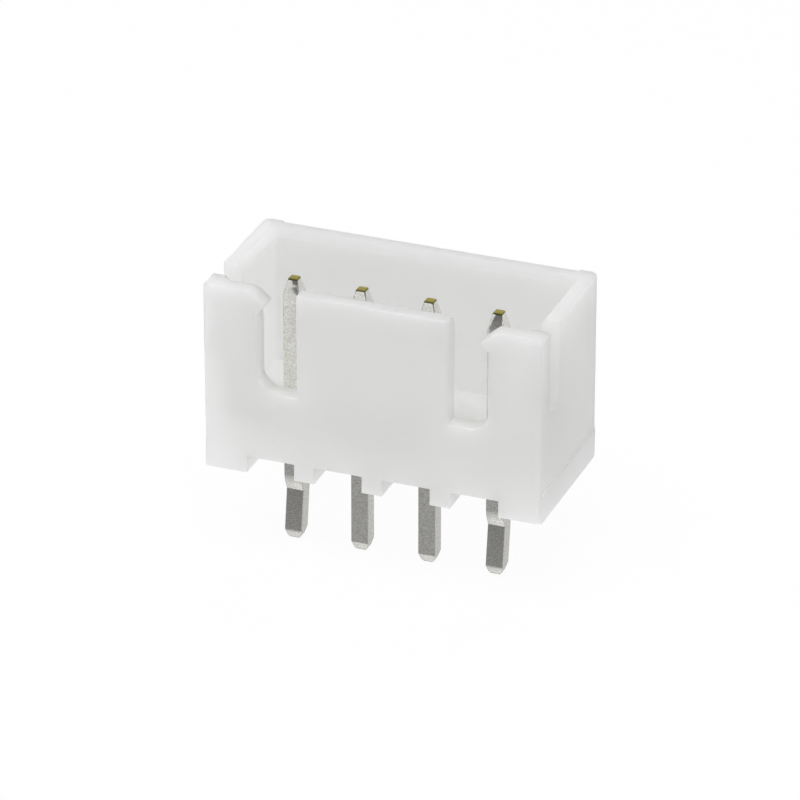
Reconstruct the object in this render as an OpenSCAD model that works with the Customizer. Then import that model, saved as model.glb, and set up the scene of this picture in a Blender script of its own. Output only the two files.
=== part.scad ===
// Straight shrouded pin header, single row, for a wire-to-board plug.
// A moulded box, open at the top, holds a row of square posts that pass through its floor.
// Millimetres. X runs along the row, -Y is the slotted front, Z = 0 is the top of the board.

/* [Row] */
// Number of posts in the row
post_count = 4; // [2:1:12]
// Distance between neighbouring posts
pitch = 2.5; // [2.3:0.1:4]

/* [Housing] */
// Distance from an end post to the end face of the base
end_reach = 2.45; // [2.3:0.05:3.5]
// Distance from the post row to the slotted front face
front_reach = 2.35; // [2:0.05:3.5]
// Distance from the post row to the back of the base
back_reach = 3.4; // [2.5:0.05:5]
// Height of the rim above the board
rim_height = 7; // [6.5:0.1:10]
// How far the middle tab of the front wall stands above the rim
tab_rise = 0.12; // [0.02:0.02:0.4]
// Height of the cavity floor above the board
floor_height = 1.95; // [1.4:0.05:2.8]
// Thickness of the slotted front wall
front_wall = 0.72; // [0.5:0.02:1]
// Thickness of the two end walls above the ledge
end_wall = 0.66; // [0.5:0.02:1]
// Thickness of the back wall
back_wall = 0.64; // [0.4:0.02:1]
// Height of the base, up to its small ledge
base_height = 1.05; // [0.8:0.05:1.3]
// How far the base stands out past the walls, at the ends and the back
base_step = 0.06; // [0.02:0.01:0.1]
// Mould draft: how far each end face leans out between the board and the rim
end_draft = 0.06; // [0:0.01:0.1]
// How far the back wall lies in from the back of the end walls
back_relief = 0.11; // [0.04:0.01:0.3]

/* [Edges] */
// Radius of the upright front corners
front_corner = 0.12; // [0.05:0.01:0.4]
// Radius of the upright back corners
back_corner = 0.34; // [0.1:0.02:0.6]
// Radius of the upright corners inside, at the back
cavity_corner = 0.2; // [0.1:0.02:0.5]
// Radius of the rim's outer edge along the ends
rim_round = 0.1; // [0.05:0.01:0.4]
// Width of the lead-in slope round the inside of the rim
lead_in_width = 0.2; // [0.1:0.02:0.3]
// Height of the lead-in slope
lead_in_height = 0.3; // [0.2:0.02:0.6]

/* [Front slots] */
// Width of each keying slot in the front wall
slot_width = 1.48; // [1.2:0.02:1.8]
// How far the middle of each slot lies inboard of its end post
slot_inset = 0.26; // [0.1:0.02:0.4]
// Height of the slot bottom above the board
slot_floor = 3.2; // [2.9:0.05:4]
// Fillet in the outer bottom corner of each slot
slot_fillet = 0.7; // [0.3:0.05:0.9]
// How far the latch nib reaches into the slot
nib_reach = 0.32; // [0.15:0.01:0.45]
// Depth of the nib's tip below the rim
nib_drop = 0.5; // [0.35:0.01:0.7]
// Height of the slope under the nib
nib_under = 0.32; // [0.2:0.01:0.5]
// How far the nib's lead-in slope starts outboard of the slot, at the rim
nib_lead = 0.24; // [0.1:0.01:0.4]

/* [End slots] */
// Width of the relief slot in each end wall, next to the front wall
end_slot_width = 1; // [0.7:0.02:1.3]
// Height of the end slot's round bottom above the board
end_slot_floor = 3.86; // [3:0.02:4.5]
// How much further back the left end slot lies than the right one
left_slot_shift = 0.2; // [0:0.02:0.3]

/* [Underside] */
// Width of the channel under each post
channel_width = 1.74; // [1.2:0.02:1.9]
// Height of the channels
channel_height = 0.62; // [0.3:0.02:0.8]

/* [Posts] */
// Side of a square post
post_width = 0.64; // [0.5:0.01:0.8]
// Room between a post and its hole in the floor, on each side
post_gap = 0.01; // [0.005:0.005:0.03]
// Depth of the posts' upper ends below the rim
post_drop = 0.38; // [0.2:0.02:1]
// Side of a post's upper end face
upper_tip = 0.34; // [0.25:0.01:0.5]
// Length of the upper taper
upper_taper = 0.4; // [0.2:0.02:0.8]
// Length of the tails below the board's top
tail_length = 3.45; // [2.6:0.05:4.5]
// Side of a tail's end face
tail_tip = 0.42; // [0.25:0.01:0.5]
// Length of the tail's taper
tail_taper = 0.33; // [0.2:0.01:0.6]

/* [Kinked tails] */
// How far the outer tails bend back, to grip the board
kink_offset = 0.22; // [0.05:0.01:0.4]
// Depth at which the bend starts
kink_start = 1.14; // [0.8:0.01:1.3]
// Depth of the knee
kink_knee = 1.58; // [1.4:0.02:2.2]

/* [Hidden] */
$fn = 48;
// How far a cutting shape runs past the face that it cuts
past = 0.5;

end_post_x = (post_count - 1) * pitch / 2;
half_length = end_post_x + end_reach;
wall_half = half_length - base_step;
rim_half = wall_half + end_draft;
cavity_half = wall_half - end_wall;
front_inner_y = front_wall - front_reach;
shroud_back_y = back_reach - base_step;
back_face_y = shroud_back_y - back_relief;
cavity_back_y = back_face_y - back_wall;
tab_height = rim_height + tab_rise;
above = tab_height + past;
slot_outer_x = end_post_x - slot_inset + slot_width / 2;
slot_inner_x = slot_outer_x - slot_width;
nib_tip_z = rim_height - nib_drop;
post_top = rim_height - post_drop;

function post_x(k) = (k - 1) * pitch - end_post_x;
function is_end(k) = k == 1 || k == post_count;

// Extrudes a shape drawn in X and Z from one Y to another
module along_y(from, to) {
    translate([0, to, 0]) rotate([90, 0, 0]) linear_extrude(to - from) children();
}

// Extrudes a shape drawn in Y and Z from one X to another
module along_x(from, to) {
    translate([from, 0, 0]) rotate([90, 0, 90]) linear_extrude(to - from) children();
}

// Draws its children and their mirror image across X = 0
module both_sides() {
    children();
    mirror([1, 0, 0]) children();
}

// What a round of radius r takes off a square corner at the origin that opens to +X and +Y
module corner_waste(r) {
    difference() {
        translate([-past, -past]) square(r + past);
        translate([r, r]) circle(r);
    }
}

// Plan outline of the box, rounded at its upright corners
module plan(half, back) {
    difference() {
        translate([-half, -front_reach]) square([2 * half, front_reach + back]);
        both_sides() {
            translate([-half, -front_reach]) corner_waste(front_corner);
            translate([-half, back]) mirror([0, 1]) corner_waste(back_corner);
        }
    }
}

// Plan outline of the walls, with the shallow relief across the back
module shroud_plan() {
    difference() {
        plan(rim_half, shroud_back_y);
        translate([-cavity_half, back_face_y]) square([2 * cavity_half, back_relief + past]);
    }
}

// Plan outline of the cavity, rounded at the back
module cavity_plan() {
    difference() {
        translate([-cavity_half, front_inner_y]) square([2 * cavity_half, cavity_back_y - front_inner_y]);
        both_sides() translate([-cavity_half, cavity_back_y]) mirror([0, 1]) corner_waste(cavity_corner);
    }
}

// Front view of the walls: the end faces lean out, and their upper edges are rounded
module wall_section() {
    difference() {
        polygon([[-wall_half, 0], [wall_half, 0], [rim_half, rim_height], [-rim_half, rim_height]]);
        both_sides() translate([-rim_half, rim_height]) mirror([0, 1]) corner_waste(rim_round);
    }
}

// Front view of one keying slot, with the latch nib on its outer side
module slot_section() {
    slope = (nib_reach + nib_lead) / nib_drop;
    difference() {
        polygon([
            [slot_inner_x, slot_floor],
            [slot_outer_x, slot_floor],
            [slot_outer_x, nib_tip_z - nib_under],
            [slot_outer_x - nib_reach, nib_tip_z],
            [slot_outer_x - nib_reach + slope * (above - nib_tip_z), above],
            [slot_inner_x, above]
        ]);
        translate([slot_outer_x, slot_floor]) mirror([1, 0]) corner_waste(slot_fillet);
    }
}

// Side view of an end slot, round at the bottom
module end_slot_section() {
    radius = end_slot_width / 2;
    middle = end_slot_floor + radius;
    translate([front_inner_y, middle]) square([end_slot_width, above - middle]);
    translate([front_inner_y + radius, middle]) circle(radius);
}

// Lead-in slopes round the inside of the rim, as the space that they open
module lead_in() {
    low = rim_height - lead_in_height;
    end_x = cavity_half + lead_in_width;
    back_y = cavity_back_y + lead_in_width;
    corner = [cavity_half - cavity_corner, cavity_back_y - cavity_corner, low];
    corner_side = cavity_corner + lead_in_width + past;
    difference() {
        intersection() {
            along_y(front_inner_y, back_y)
                polygon([[-cavity_half, low], [cavity_half, low], [end_x, rim_height], [-end_x, rim_height]]);
            along_x(-end_x, end_x)
                polygon([
                    [front_inner_y, low],
                    [cavity_back_y, low],
                    [back_y, rim_height],
                    [front_inner_y, rim_height]
                ]);
        }
        both_sides() translate(corner) cube([corner_side, corner_side, lead_in_height]);
    }
    // A quarter of a cone carries the slope round each back corner of the cavity
    both_sides() translate(corner) rotate_extrude(angle = 90)
        polygon([[0, 0], [cavity_corner, 0], [cavity_corner + lead_in_width, lead_in_height], [0, lead_in_height]]);
    // The front wall's slope starts higher, because the tab stands above the rim
    along_x(-cavity_half, cavity_half)
        polygon([
            [front_inner_y, tab_height - lead_in_height],
            [front_inner_y, tab_height],
            [front_inner_y - lead_in_width, tab_height]
        ]);
}

// Walls of the box and its floor, with the slots cut
module shroud() {
    difference() {
        union() {
            intersection() {
                linear_extrude(rim_height) shroud_plan();
                along_y(-front_reach - past, back_reach + past) wall_section();
            }
            translate([-slot_inner_x, -front_reach, floor_height])
                cube([2 * slot_inner_x, front_wall, tab_height - floor_height]);
        }
        translate([0, 0, floor_height]) linear_extrude(above - floor_height) cavity_plan();
        lead_in();
        both_sides() along_y(-front_reach - past, front_inner_y) slot_section();
        along_x(0, half_length + past) end_slot_section();
        translate([0, left_slot_shift, 0]) along_x(-half_length - past, 0) end_slot_section();
    }
}

// White moulding: base with ledge, walls, channels underneath and a hole for each post
module housing() {
    hole = post_width + 2 * post_gap;
    color("#eeeeea") difference() {
        union() {
            linear_extrude(base_height) plan(half_length, back_reach);
            shroud();
        }
        for (k = [1:post_count]) translate([post_x(k), 0, 0]) {
            translate([-channel_width / 2, -front_reach - past, -past])
                cube([channel_width, front_reach + back_reach + 2 * past, channel_height + past]);
            translate([-hole / 2, -hole / 2, 0]) cube([hole, hole, floor_height + past]);
        }
    }
}

// Side view of a post whose tail bends back by the given distance at its knee
module post_section(bend) {
    side = post_width / 2;
    shoulder = tail_taper - tail_length;
    polygon([
        [-upper_tip / 2, post_top],
        [-side, post_top - upper_taper],
        [-side, -kink_start],
        [bend - side, -kink_knee],
        [-side, shoulder],
        [-tail_tip / 2, -tail_length],
        [tail_tip / 2, -tail_length],
        [side, shoulder],
        [bend + side, -kink_knee],
        [side, -kink_start],
        [side, post_top - upper_taper],
        [upper_tip / 2, post_top]
    ]);
}

// Tin-plated square post, tapered on all four sides at both ends
module post(k) {
    reach = post_width + kink_offset;
    color("#b4b2aa") translate([post_x(k), 0, 0]) intersection() {
        along_y(-reach, reach) post_section(0);
        along_x(-reach, reach) post_section(is_end(k) ? kink_offset : 0);
    }
}

housing();
for (k = [1:post_count]) {
    post(k);
}
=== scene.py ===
"""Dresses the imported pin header: a natural white nylon shroud round a row of tin-plated posts."""

import logging
import math
from dataclasses import dataclass
from enum import Enum

import bmesh
import bpy
from mathutils import Matrix, Vector


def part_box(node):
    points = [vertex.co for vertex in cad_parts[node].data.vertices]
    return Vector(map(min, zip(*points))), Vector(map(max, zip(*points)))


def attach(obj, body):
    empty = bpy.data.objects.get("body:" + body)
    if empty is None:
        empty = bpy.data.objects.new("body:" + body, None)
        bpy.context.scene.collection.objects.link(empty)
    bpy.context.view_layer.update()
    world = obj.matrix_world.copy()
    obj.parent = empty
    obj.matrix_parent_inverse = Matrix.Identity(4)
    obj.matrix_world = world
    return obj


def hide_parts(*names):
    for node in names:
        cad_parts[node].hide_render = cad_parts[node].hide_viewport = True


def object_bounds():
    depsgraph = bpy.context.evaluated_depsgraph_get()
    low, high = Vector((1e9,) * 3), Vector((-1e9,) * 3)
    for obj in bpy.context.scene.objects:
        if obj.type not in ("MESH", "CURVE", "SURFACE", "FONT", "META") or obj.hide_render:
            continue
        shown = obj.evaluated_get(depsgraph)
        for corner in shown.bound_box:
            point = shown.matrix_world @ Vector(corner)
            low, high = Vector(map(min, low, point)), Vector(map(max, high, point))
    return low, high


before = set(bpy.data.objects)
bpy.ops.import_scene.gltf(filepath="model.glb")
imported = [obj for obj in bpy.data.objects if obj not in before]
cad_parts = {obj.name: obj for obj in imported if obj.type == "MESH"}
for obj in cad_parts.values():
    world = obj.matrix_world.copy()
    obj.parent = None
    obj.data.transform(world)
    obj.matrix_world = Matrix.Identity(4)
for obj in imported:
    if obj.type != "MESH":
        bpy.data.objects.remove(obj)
CAD_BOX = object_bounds()

MM = 0.001
# Places closer than this are the same place
NEAR_MM = 0.01
PHOTO_SIZE_PX = 800
SENSOR_MM = 36.0
BODY = "root"
WHITE = "#ffffff"
# Most values of a noise texture lie between these two
NOISE_RANGE = (0.3, 0.7)

log = logging.getLogger("pin_header")


class Slot(Enum):
    """Names of the record's material slots, kept with each piece; nothing reads them."""

    HOUSING = "housing"
    POST = "post"


class Side(Enum):
    """Sides of the part that a studio lamp can stand on, as a direction from the part."""

    ABOVE_FRONT = (0.0, -0.5, 1.0)
    ABOVE_BACK = (0.0, 0.8, 1.0)
    LEFT = (-1.0, -0.1, 0.5)
    RIGHT = (1.0, -0.2, 1.0)


def linear(hex_colour: str) -> tuple[float, float, float, float]:
    """Turns an sRGB hex colour to the linear values that a shader socket takes.

    Args:
        hex_colour: The colour as six hex digits after a hash sign.

    Returns:
        Linear red, green, blue and an alpha of one.
    """
    parts = [int(hex_colour[i:i + 2], 16) / 255.0 for i in (1, 3, 5)]
    values = [p / 12.92 if p <= 0.04045 else ((p + 0.055) / 1.055) ** 2.4 for p in parts]
    return (values[0], values[1], values[2], 1.0)


def add_node(tree: bpy.types.NodeTree, kind: str, inputs: dict[str | int, object] | None = None,
             **settings: object) -> bpy.types.Node:
    """Adds one node, with its settings, its socket values and its links.

    Args:
        tree: The node tree that gets the node.
        kind: Blender's name for the kind of node.
        inputs: A value, or an output socket to link, for each input by name or number.
        settings: Properties of the node itself.

    Returns:
        The new node.
    """
    made = tree.nodes.new(kind)
    for name, value in settings.items():
        setattr(made, name, value)
    for key, value in (inputs or {}).items():
        if isinstance(value, bpy.types.NodeSocket):
            tree.links.new(value, made.inputs[key])
        else:
            made.inputs[key].default_value = value
    return made


def empty_tree(owner: bpy.types.Material | bpy.types.World) -> bpy.types.NodeTree:
    """Gives a material or world an empty node tree.

    Args:
        owner: The material or world.

    Returns:
        Its node tree, with no node in it.
    """
    owner.use_nodes = True
    owner.node_tree.nodes.clear()
    return owner.node_tree


@dataclass(frozen=True)
class MouldedNylon:
    """Natural white polyamide 66, injection moulded in a spark-eroded mould.

    It gives the eye a milky satin white: light soaks right through the thin walls, so the inside of the
    box is hardly darker than the outside, and a fine matt grain breaks up the sheen.
    """

    name: str = "natural_white_nylon_moulded"
    colour: str = "#f7f7f6"
    cloudy_colour: str = "#f4f4f2"
    ior: float = 1.53
    roughness: tuple[float, float] = (0.42, 0.52)
    soak_mm: float = 6.4
    soak_weight: float = 1.0
    # Blue light soaks in a little less far than red and green
    soak_by_colour: tuple[float, float, float] = (1.0, 1.0, 0.98)
    cloud_mm: float = 1.6
    # The real grain is about 0.02 mm: it is drawn three times as coarse, so that it shows
    grain_mm: float = 0.06
    grain_depth_mm: float = 0.0015
    grain_strength: float = 0.5

    def make(self) -> bpy.types.Material:
        """Builds the material.

        Returns:
            The nylon material, on Object coordinates.
        """
        material = bpy.data.materials.new(self.name)
        tree = empty_tree(material)
        place = add_node(tree, "ShaderNodeTexCoord").outputs["Object"]
        cloud = add_node(tree, "ShaderNodeTexNoise", {
            "Vector": place, "Scale": 1.0 / (self.cloud_mm * MM), "Detail": 3.0, "Roughness": 0.5})
        tone = add_node(tree, "ShaderNodeMix", {
            "Factor": cloud.outputs["Fac"], "A": linear(self.colour), "B": linear(self.cloudy_colour)},
            data_type="RGBA")
        grain = add_node(tree, "ShaderNodeTexNoise", {
            "Vector": place, "Scale": 1.0 / (self.grain_mm * MM), "Detail": 2.0, "Roughness": 0.6})
        satin = add_node(tree, "ShaderNodeMapRange", {
            "Value": grain.outputs["Fac"], "From Min": NOISE_RANGE[0], "From Max": NOISE_RANGE[1],
            "To Min": self.roughness[0], "To Max": self.roughness[1]})
        relief = add_node(tree, "ShaderNodeBump", {
            "Height": grain.outputs["Fac"], "Strength": self.grain_strength,
            "Distance": self.grain_depth_mm * MM})
        shader = add_node(tree, "ShaderNodeBsdfPrincipled", {
            "Base Color": tone.outputs[2],
            "Roughness": satin.outputs["Result"],
            "IOR": self.ior,
            "Normal": relief.outputs["Normal"],
            "Subsurface Weight": self.soak_weight,
            "Subsurface Radius": self.soak_by_colour,
            "Subsurface Scale": self.soak_mm * MM})
        add_node(tree, "ShaderNodeOutputMaterial", {"Surface": shader.outputs["BSDF"]})
        return material


@dataclass(frozen=True)
class TinPlatedBrass:
    """Drawn brass wire with a bright tin plating, cut to length after plating.

    It gives the eye a bright grey metal: fine crystals and faint draw streaks along the wire break up
    what it mirrors, and the two cut ends are bare yellow brass with a painted dark rim, a shade that stands
    in for the dark that their rounded edges mirror.
    """

    name: str = "tin_plated_brass_drawn"
    tin: str = "#fcfbf8"
    dull_tin: str = "#d9d8d1"
    brass: str = "#ccc068"
    # Painted shade: the colour of the dark rim round each cut end
    rim_shade_brass: str = "#746e3a"
    roughness: tuple[float, float] = (0.08, 0.15)
    sheared_roughness: float = 0.42
    # The real draw marks are about 0.005 mm wide: they are drawn ten times as wide, so that they show
    streak_mm: float = 0.05
    streak_length_mm: float = 1.6
    streak_depth_mm: float = 0.001
    # The real plating's crystals are about 0.01 mm: they are drawn five times as coarse, so that they show
    grain_mm: float = 0.05
    grain_depth_mm: float = 0.002
    relief_strength: float = 0.25
    # The crystals turn from bright to dull between these values of their noise
    dull_range: tuple[float, float] = (0.35, 0.65)
    # The bare brass reaches this far from a cut end, and between the two depths a painted shade darkens it: a
    # dark rim standing in for the dark that the rounded edge mirrors
    bare_mm: float = 0.05
    rim_shade_depths_mm: tuple[float, float] = (0.004, 0.03)

    def make(self, bottom: float, top: float) -> bpy.types.Material:
        """Builds the material.

        Args:
            bottom: Height of the lower cut end, in metres.
            top: Height of the upper cut end, in metres.

        Returns:
            The plated material, on Object coordinates.
        """
        material = bpy.data.materials.new(self.name)
        tree = empty_tree(material)
        place = add_node(tree, "ShaderNodeTexCoord").outputs["Object"]
        across = 1.0 / (self.streak_mm * MM)
        along = 1.0 / (self.streak_length_mm * MM)
        drawn = add_node(tree, "ShaderNodeMapping", {"Vector": place, "Scale": (across, across, along)})
        streak = add_node(tree, "ShaderNodeTexNoise", {
            "Vector": drawn.outputs["Vector"], "Scale": 1.0, "Detail": 3.0, "Roughness": 0.6})
        grain = add_node(tree, "ShaderNodeTexNoise", {
            "Vector": place, "Scale": 1.0 / (self.grain_mm * MM), "Detail": 2.0, "Roughness": 0.6})
        worn = add_node(tree, "ShaderNodeMapRange", {
            "Value": grain.outputs["Fac"], "From Min": self.dull_range[0], "From Max": self.dull_range[1]})
        plating = add_node(tree, "ShaderNodeMix", {
            "Factor": worn.outputs["Result"], "A": linear(self.tin), "B": linear(self.dull_tin)},
            data_type="RGBA")
        height = add_node(tree, "ShaderNodeSeparateXYZ", {"Vector": place}).outputs["Z"]
        below_top = add_node(tree, "ShaderNodeMath", {0: top, 1: height}, operation="SUBTRACT")
        above_bottom = add_node(tree, "ShaderNodeMath", {0: height, 1: bottom}, operation="SUBTRACT")
        from_cut = add_node(tree, "ShaderNodeMath", {
            0: below_top.outputs["Value"], 1: above_bottom.outputs["Value"]}, operation="MINIMUM")
        # Painted shade: the rounded rim of each cut end turns to the dark brass
        shaded_rim = add_node(tree, "ShaderNodeMapRange", {
            "Value": from_cut.outputs["Value"],
            "From Min": self.rim_shade_depths_mm[0] * MM, "From Max": self.rim_shade_depths_mm[1] * MM})
        bare = add_node(tree, "ShaderNodeMix", {
            "Factor": shaded_rim.outputs["Result"], "A": linear(self.brass), "B": linear(self.rim_shade_brass)},
            data_type="RGBA")
        cut = add_node(tree, "ShaderNodeMath", {
            0: from_cut.outputs["Value"], 1: self.bare_mm * MM}, operation="LESS_THAN")
        colour = add_node(tree, "ShaderNodeMix", {
            "Factor": cut.outputs["Value"], "A": plating.outputs[2], "B": bare.outputs[2]},
            data_type="RGBA")
        satin = add_node(tree, "ShaderNodeMapRange", {
            "Value": streak.outputs["Fac"], "From Min": NOISE_RANGE[0], "From Max": NOISE_RANGE[1],
            "To Min": self.roughness[0], "To Max": self.roughness[1]})
        gloss = add_node(tree, "ShaderNodeMix", {
            "Factor": cut.outputs["Value"], "A": satin.outputs["Result"], "B": self.sheared_roughness},
            data_type="FLOAT")
        drawn_relief = add_node(tree, "ShaderNodeBump", {
            "Height": streak.outputs["Fac"], "Strength": self.relief_strength,
            "Distance": self.streak_depth_mm * MM})
        relief = add_node(tree, "ShaderNodeBump", {
            "Height": grain.outputs["Fac"], "Strength": self.relief_strength,
            "Distance": self.grain_depth_mm * MM, "Normal": drawn_relief.outputs["Normal"]})
        shader = add_node(tree, "ShaderNodeBsdfPrincipled", {
            "Base Color": colour.outputs[2],
            "Metallic": 1.0,
            "Roughness": gloss.outputs["Result"],
            "Normal": relief.outputs["Normal"]})
        add_node(tree, "ShaderNodeOutputMaterial", {"Surface": shader.outputs["BSDF"]})
        return material


@dataclass
class CadPiece:
    """A piece that starts as a merged copy of a CAD node and stands for that node."""

    node: str
    slot: Slot
    edge_break_mm: float
    edge_segments: int = 3
    merge_mm: float = 0.002
    # Faces that turn less than this are one flat face
    flat_deg: float = 0.5
    # Outer edges that turn more than the first are rounded, and the others shade crisply from the second on
    sharp_deg: float = 20.0
    crisp_deg: float = 16.0
    # A strip of a round is narrower than this share of the edge break, and its long sides are longer than
    # this share of its longest
    strip_share: float = 0.7
    long_share: float = 0.5
    # How far the large faces decide the shading at an edge that they share with small ones
    large_face_weight: int = 90

    def merged(self) -> bmesh.types.BMesh:
        """Copies the node's mesh and joins its loose triangles to whole flat faces.

        Returns:
            The joined mesh.
        """
        mesh = bmesh.new()
        mesh.from_mesh(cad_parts[self.node].data)
        bmesh.ops.remove_doubles(mesh, verts=mesh.verts, dist=self.merge_mm * MM)
        bmesh.ops.dissolve_limit(mesh, angle_limit=math.radians(self.flat_deg), verts=mesh.verts,
                                 edges=mesh.edges)
        return mesh

    def outer_edges(self, mesh: bmesh.types.BMesh) -> list[bmesh.types.BMEdge]:
        """Finds the edges that stand out.

        Args:
            mesh: The joined mesh.

        Returns:
            Every edge whose faces turn away from each other by more than the least angle.
        """
        least = math.radians(self.sharp_deg)
        return [edge for edge in mesh.edges if edge.calc_face_angle_signed(0.0) > least]

    def break_edges(self, mesh: bmesh.types.BMesh) -> None:
        """Rounds the outer edges of the mesh, and keeps the shading crisp at the other edges.

        Args:
            mesh: The joined mesh, which is changed.
        """
        bmesh.ops.bevel(mesh, geom=self.outer_edges(mesh), offset=self.edge_break_mm * MM,
                        offset_type="OFFSET", affect="EDGES", segments=self.edge_segments,
                        profile=0.5, material=-1, clamp_overlap=False)
        for edge in mesh.edges:
            edge.smooth = self.on_round(edge) or edge.calc_face_angle(0.0) < math.radians(self.crisp_deg)

    def on_round(self, edge: bmesh.types.BMEdge) -> bool:
        """Tells whether an edge runs along a narrow strip of a round.

        Args:
            edge: An edge of the mesh, after its outer edges were rounded.

        Returns:
            True if a face beside it is such a strip and the edge is one of its long sides.
        """
        for face in edge.link_faces:
            longest = max(side.calc_length() for side in face.edges)
            narrow = face.calc_area() < self.strip_share * self.edge_break_mm * MM * longest
            if narrow and edge.calc_length() > self.long_share * longest:
                return True
        return False

    def finished(self, mesh: bmesh.types.BMesh, material: bpy.types.Material) -> bpy.types.Object:
        """Turns the mesh to an object that rides on the part and stands for its node.

        Args:
            mesh: The finished mesh, which is freed.
            material: The finish of the piece.

        Returns:
            The new object.
        """
        for face in mesh.faces:
            face.smooth = True
        data = bpy.data.meshes.new(self.node + "_dressed")
        mesh.to_mesh(data)
        mesh.free()
        data.materials.clear()
        data.materials.append(material)
        piece = bpy.data.objects.new(self.node + "_dressed", data)
        bpy.context.scene.collection.objects.link(piece)
        shading = piece.modifiers.new("even_shading", "WEIGHTED_NORMAL")
        shading.keep_sharp = True
        shading.weight = self.large_face_weight
        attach(piece, BODY)
        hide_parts(self.node)
        return piece


@dataclass
class Shroud(CadPiece):
    """The moulded box: base, walls, keying slots, latch nibs, end slots and ribs."""

    node: str = "housing"
    slot: Slot = Slot.HOUSING
    edge_break_mm: float = 0.03
    ledge_mm: float = 1.05
    ledge_slope_mm: float = 0.14
    # A face that rises further than this above the ledge belongs to a wall
    wall_rise_mm: float = 0.1
    # Past these places in X and Y lie the upright front corners and the upright back corners, and the edges
    # that run up them climb further than the lengths given here
    front_corner_mm: tuple[float, float] = (6.1, -2.2)
    front_climb_mm: float = 0.5
    back_corner_mm: tuple[float, float] = (5.8, 2.9)
    back_climb_mm: float = 0.05
    # Edges that turn less than this are soft along the ledge, and where the leaning end wall runs out of the
    # round of a back corner
    soft_deg: float = 35.0

    def slope_ledge(self, mesh: bmesh.types.BMesh) -> None:
        """Lifts the inner edge of the ledge round the ends and the back, which turns the step to a slope.

        Args:
            mesh: The joined mesh, which is changed.
        """
        lowest = (self.ledge_mm - NEAR_MM) * MM
        highest = (self.ledge_mm + self.wall_rise_mm) * MM
        lifted = []
        for vert in mesh.verts:
            heights = [[corner.co.z for corner in face.verts] for face in vert.link_faces]
            under_wall = any(min(zs) > lowest and max(zs) > highest for zs in heights)
            on_ledge = abs(vert.co.z - self.ledge_mm * MM) < NEAR_MM * MM
            if on_ledge and under_wall and vert.co.y > self.front_corner_mm[1] * MM:
                lifted.append(vert)
        for vert in lifted:
            vert.co.z += self.ledge_slope_mm * MM

    def is_soft(self, edge: bmesh.types.BMEdge) -> bool:
        """Tells whether an edge turns only a little, on the ledge's slope or up a back corner.

        Args:
            edge: An edge of the mesh.

        Returns:
            True if the edge shades softly.
        """
        ends = [vert.co / MM for vert in edge.verts]
        lowest = self.ledge_mm - 2 * NEAR_MM
        highest = self.ledge_mm + self.ledge_slope_mm + 2 * NEAR_MM
        on_ledge = all(lowest < end.z < highest for end in ends)
        side, back = self.back_corner_mm
        on_corner = all(abs(end.x) > side and end.y > back for end in ends)
        upright = abs(ends[0].z - ends[1].z) > self.back_climb_mm
        gentle = edge.calc_face_angle(0.0) < math.radians(self.soft_deg)
        return gentle and (on_ledge or (on_corner and upright))

    def on_round(self, edge: bmesh.types.BMEdge) -> bool:
        """Counts the soft edges with the rounds."""
        return self.is_soft(edge) or super().on_round(edge)

    def outer_edges(self, mesh: bmesh.types.BMesh) -> list[bmesh.types.BMEdge]:
        """Leaves out the soft edges, and the ledge and front corners, too narrow for the edge break.

        Args:
            mesh: The joined mesh.

        Returns:
            The edges to round.
        """
        kept = []
        for edge in super().outer_edges(mesh):
            ends = [vert.co / MM for vert in edge.verts]
            on_ledge = all(abs(end.z - self.ledge_mm) < NEAR_MM for end in ends)
            side, front = self.front_corner_mm
            on_corner = all(abs(end.x) > side and end.y < front for end in ends)
            upright = abs(ends[0].z - ends[1].z) > self.front_climb_mm
            if not on_ledge and not (on_corner and upright) and not self.is_soft(edge):
                kept.append(edge)
        return kept

    def build(self, finish: MouldedNylon) -> bpy.types.Object:
        """Builds and dresses the box.

        Args:
            finish: The nylon of the box.

        Returns:
            The box as one object.
        """
        mesh = self.merged()
        self.slope_ledge(mesh)
        self.break_edges(mesh)
        return self.finished(mesh, finish.make())


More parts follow.
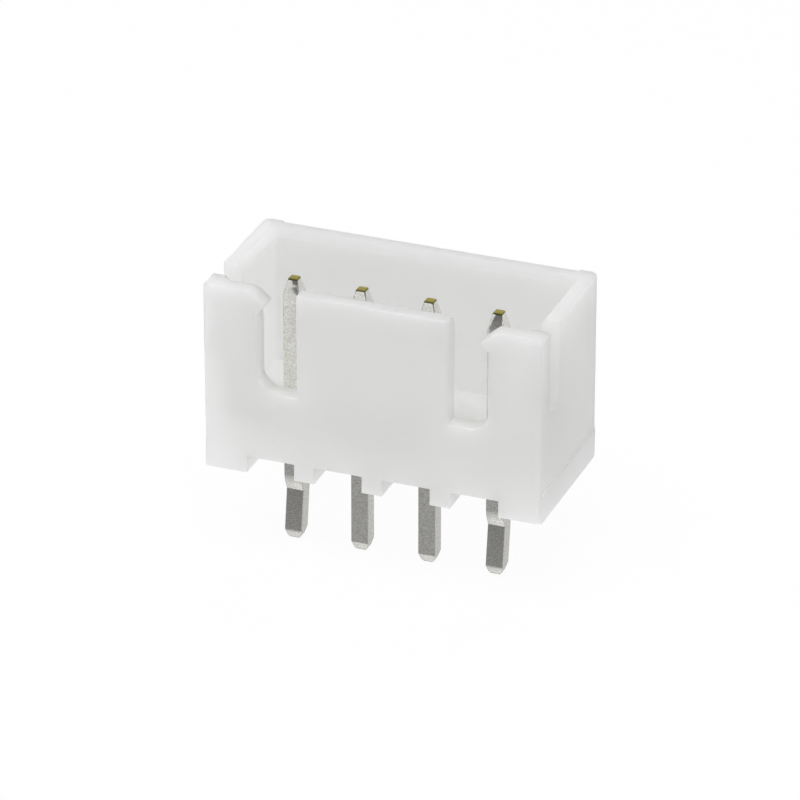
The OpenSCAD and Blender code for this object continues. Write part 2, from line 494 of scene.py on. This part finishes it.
@dataclass
class PostRow:
    """The row of square posts through the floor of the box, the outer two bent to grip the board."""

    count: int = 4
    edge_break_mm: float = 0.05
    bend_mm: float = -1.14
    bend_round_mm: float = 0.22
    tip_round_mm: float = 0.08
    round_segments: int = 6
    # Level edges that turn less than this are left as they are
    level_deg: float = 5.0
    # Height of the upper taper in the solids, and as the photograph shows it
    solid_taper_mm: float = 0.4
    taper_mm: float = 0.6

    def lengthen_taper(self, mesh: bmesh.types.BMesh, top: float) -> None:
        """Moves the lower end of the upper taper down the post.

        Args:
            mesh: The joined mesh of the post, which is changed.
            top: Height of the upper cut end, in metres.
        """
        for vert in mesh.verts:
            if abs(top - vert.co.z - self.solid_taper_mm * MM) < NEAR_MM * MM:
                vert.co.z = top - self.taper_mm * MM

    def round_level_edges(self, mesh: bmesh.types.BMesh, height_mm: float, round_mm: float) -> None:
        """Rounds the level edges of a post at one height.

        Args:
            mesh: The joined mesh of the post, which is changed.
            height_mm: The height of the edges.
            round_mm: How far the round reaches from the edge.
        """
        found = [edge for edge in mesh.edges
                 if all(abs(vert.co.z / MM - height_mm) < NEAR_MM for vert in edge.verts)
                 and edge.calc_face_angle(0.0) > math.radians(self.level_deg)]
        if found:
            bmesh.ops.bevel(mesh, geom=found, offset=round_mm * MM, offset_type="OFFSET", affect="EDGES",
                            segments=self.round_segments, profile=0.5, material=-1, clamp_overlap=False)

    def build(self, finish: TinPlatedBrass) -> list[bpy.types.Object]:
        """Builds and dresses the posts.

        Args:
            finish: The plated metal of the posts.

        Returns:
            The posts, from left to right.
        """
        # All posts are cut at the same two heights
        low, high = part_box("post_1")
        material = finish.make(low.z, high.z)
        made = []
        for number in range(1, self.count + 1):
            post = CadPiece(f"post_{number}", Slot.POST, self.edge_break_mm)
            mesh = post.merged()
            self.lengthen_taper(mesh, high.z)
            self.round_level_edges(mesh, self.bend_mm, self.bend_round_mm)
            self.round_level_edges(mesh, low.z / MM, self.tip_round_mm)
            post.break_edges(mesh)
            made.append(post.finished(mesh, material))
        return made


@dataclass(frozen=True)
class PhotoCamera:
    """The camera of the photograph, as it was fitted to the outline of the part."""

    azimuth_deg: float = 20.9652
    elevation_deg: float = 26.9309
    roll_deg: float = 0.0395
    distance_mm: float = 220.1429
    focal_px: float = 6369.1489
    target_mm: tuple[float, float, float] = (-0.0095, 0.3992, 2.3603)
    clip_mm: tuple[float, float] = (5.0, 5000.0)

    def build(self) -> bpy.types.Object:
        """Makes the camera and gives it to the scene.

        Returns:
            The camera object.
        """
        azimuth = math.radians(self.azimuth_deg)
        elevation = math.radians(self.elevation_deg)
        back = Vector((math.sin(azimuth) * math.cos(elevation),
                       -math.cos(azimuth) * math.cos(elevation),
                       math.sin(elevation)))
        right = Vector((math.cos(azimuth), math.sin(azimuth), 0.0))
        up = back.cross(right)
        turn = Matrix((right, up, back)).transposed() @ Matrix.Rotation(math.radians(self.roll_deg), 3, "Z")
        data = bpy.data.cameras.new("photo_camera")
        data.sensor_width = SENSOR_MM
        data.lens = self.focal_px * SENSOR_MM / PHOTO_SIZE_PX
        data.clip_start = self.clip_mm[0] * MM
        data.clip_end = self.clip_mm[1] * MM
        camera = bpy.data.objects.new("photo_camera", data)
        place = Vector(self.target_mm) * MM + back * self.distance_mm * MM
        camera.matrix_world = Matrix.Translation(place) @ turn.to_4x4()
        bpy.context.scene.collection.objects.link(camera)
        bpy.context.scene.camera = camera
        return camera


@dataclass(frozen=True)
class Lamp:
    """One soft square lamp."""

    side: Side
    watts: float
    width_mm: float = 160.0
    distance_mm: float = 220.0

    def build(self) -> bpy.types.Object:
        """Makes the lamp, turned towards the part.

        Returns:
            The lamp object.
        """
        name = "lamp_" + self.side.name.lower()
        data = bpy.data.lights.new(name, "AREA")
        data.energy = self.watts
        data.size = self.width_mm * MM
        lamp = bpy.data.objects.new(name, data)
        towards = Vector(self.side.value).normalized()
        lamp.matrix_world = (Matrix.Translation(towards * self.distance_mm * MM)
                             @ towards.to_track_quat("Z", "Y").to_matrix().to_4x4())
        bpy.context.scene.collection.objects.link(lamp)
        # The light comes through the white walls of a tent: the posts mirror those and not the lamps
        lamp.visible_glossy = False
        return lamp


@dataclass(frozen=True)
class Studio:
    """White floor, white surroundings and soft lamps."""

    lamps: tuple[Lamp, ...] = (
        Lamp(Side.ABOVE_FRONT, 0.365),
        Lamp(Side.ABOVE_BACK, 0.175),
        Lamp(Side.LEFT, 0.172),
        Lamp(Side.RIGHT, 0.106),
    )
    floor_half_mm: float = 400.0
    floor_colour: str = "#f4f4f4"
    # Light of the room on matt surfaces: the lamps give all of it
    ambient: float = 0.0
    # Brightness of the room as the metal mirrors it: the table below the part, the edge of that table,
    # the dim room on the camera's side and the pale wall behind the part
    table: float = 0.79
    horizon: float = 0.23
    camera_side: float = 0.165
    far_side: float = 0.57
    # Where the table, the camera's side and the far side start and are whole: the first two by Z and the
    # third by Y of a direction of length one
    table_range: tuple[float, float] = (-0.2, -0.95)
    table_power: float = 1.5
    camera_side_range: tuple[float, float] = (-0.1, 0.15)
    far_side_range: tuple[float, float] = (-0.05, 0.5)
    # Share of the floor that shows as pure white: the rest is lit and carries the shadow
    white_share: float = 0.95
    # Light passes many times between white walls before it is spent
    wall_bounces: int = 16

    def build_floor(self) -> bpy.types.Object:
        """Makes the pale floor under the tails.

        Returns:
            The floor object.
        """
        mesh = bmesh.new()
        height = CAD_BOX[0].z
        bmesh.ops.create_grid(mesh, x_segments=1, y_segments=1, size=self.floor_half_mm * MM,
                              matrix=Matrix.Translation((0.0, 0.0, height)))
        data = bpy.data.meshes.new("floor")
        mesh.to_mesh(data)
        mesh.free()
        material = bpy.data.materials.new("white_studio_floor")
        tree = empty_tree(material)
        rays = add_node(tree, "ShaderNodeLightPath").outputs
        seen = add_node(tree, "ShaderNodeMath", {
            0: rays["Is Camera Ray"], 1: rays["Is Transmission Ray"]}, operation="ADD")
        share = add_node(tree, "ShaderNodeMath", {
            0: seen.outputs["Value"], 1: self.white_share}, operation="MULTIPLY")
        lit = add_node(tree, "ShaderNodeBsdfDiffuse", {"Color": linear(self.floor_colour)})
        white = add_node(tree, "ShaderNodeEmission", {"Color": linear(WHITE), "Strength": 1.0})
        mixed = add_node(tree, "ShaderNodeMixShader", {
            0: share.outputs["Value"], 1: lit.outputs["BSDF"], 2: white.outputs["Emission"]})
        add_node(tree, "ShaderNodeOutputMaterial", {"Surface": mixed.outputs["Shader"]})
        data.materials.append(material)
        floor = bpy.data.objects.new("floor", data)
        bpy.context.scene.collection.objects.link(floor)
        # The posts mirror the room and not the sheet that the tails touch
        floor.visible_glossy = False
        return floor

    def build_world(self) -> bpy.types.World:
        """Makes the surroundings: white behind the part, and a room that is dim on the camera's side.

        Returns:
            The world.
        """
        world = bpy.data.worlds.new("studio")
        tree = empty_tree(world)
        rays = add_node(tree, "ShaderNodeLightPath").outputs
        white = add_node(tree, "ShaderNodeMath", {
            0: rays["Is Camera Ray"], 1: rays["Is Transmission Ray"]}, operation="ADD")
        direction = add_node(tree, "ShaderNodeTexCoord").outputs["Generated"]
        part = add_node(tree, "ShaderNodeSeparateXYZ", {"Vector": direction}).outputs
        downward = add_node(tree, "ShaderNodeMapRange", {
            "Value": part["Z"], "From Min": self.table_range[0], "From Max": self.table_range[1]})
        fading = add_node(tree, "ShaderNodeMath", {
            0: downward.outputs["Result"], 1: self.table_power}, operation="POWER")
        table = add_node(tree, "ShaderNodeMapRange", {
            "Value": fading.outputs["Value"], "To Min": self.horizon, "To Max": self.table})
        upward = add_node(tree, "ShaderNodeMapRange", {
            "Value": part["Z"], "From Min": self.camera_side_range[0], "From Max": self.camera_side_range[1]})
        near = add_node(tree, "ShaderNodeMix", {
            "Factor": upward.outputs["Result"], "A": table.outputs["Result"], "B": self.camera_side},
            data_type="FLOAT")
        behind = add_node(tree, "ShaderNodeMapRange", {
            "Value": part["Y"], "From Min": self.far_side_range[0], "From Max": self.far_side_range[1]})
        room = add_node(tree, "ShaderNodeMix", {
            "Factor": behind.outputs["Result"], "A": near.outputs["Result"], "B": self.far_side},
            data_type="FLOAT")
        shown = add_node(tree, "ShaderNodeMix", {
            "Factor": rays["Is Glossy Ray"], "A": self.ambient, "B": room.outputs["Result"]},
            data_type="FLOAT")
        strength = add_node(tree, "ShaderNodeMix", {
            "Factor": white.outputs["Value"], "A": shown.outputs["Result"], "B": 1.0},
            data_type="FLOAT")
        light = add_node(tree, "ShaderNodeBackground", {
            "Color": linear(WHITE), "Strength": strength.outputs["Result"]})
        add_node(tree, "ShaderNodeOutputWorld", {"Surface": light.outputs["Background"]})
        bpy.context.scene.world = world
        return world

    def build(self) -> None:
        """Makes the floor, the surroundings and the lamps."""
        self.build_floor()
        self.build_world()
        for lamp in self.lamps:
            lamp.build()
        bpy.context.scene.view_settings.view_transform = "Standard"
        bpy.context.scene.cycles.diffuse_bounces = self.wall_bounces
        bpy.context.scene.cycles.max_bounces = self.wall_bounces


def main() -> None:
    """Builds the camera, the part and the studio in order."""
    logging.basicConfig(level=logging.INFO, format="%(name)s: %(message)s")
    PhotoCamera().build()
    pieces = [Shroud().build(MouldedNylon()), *PostRow().build(TinPlatedBrass())]
    for piece in pieces:
        log.info("%s: %d faces", piece.name, len(piece.data.polygons))
    Studio().build()


if __name__ == "__main__":
    main()
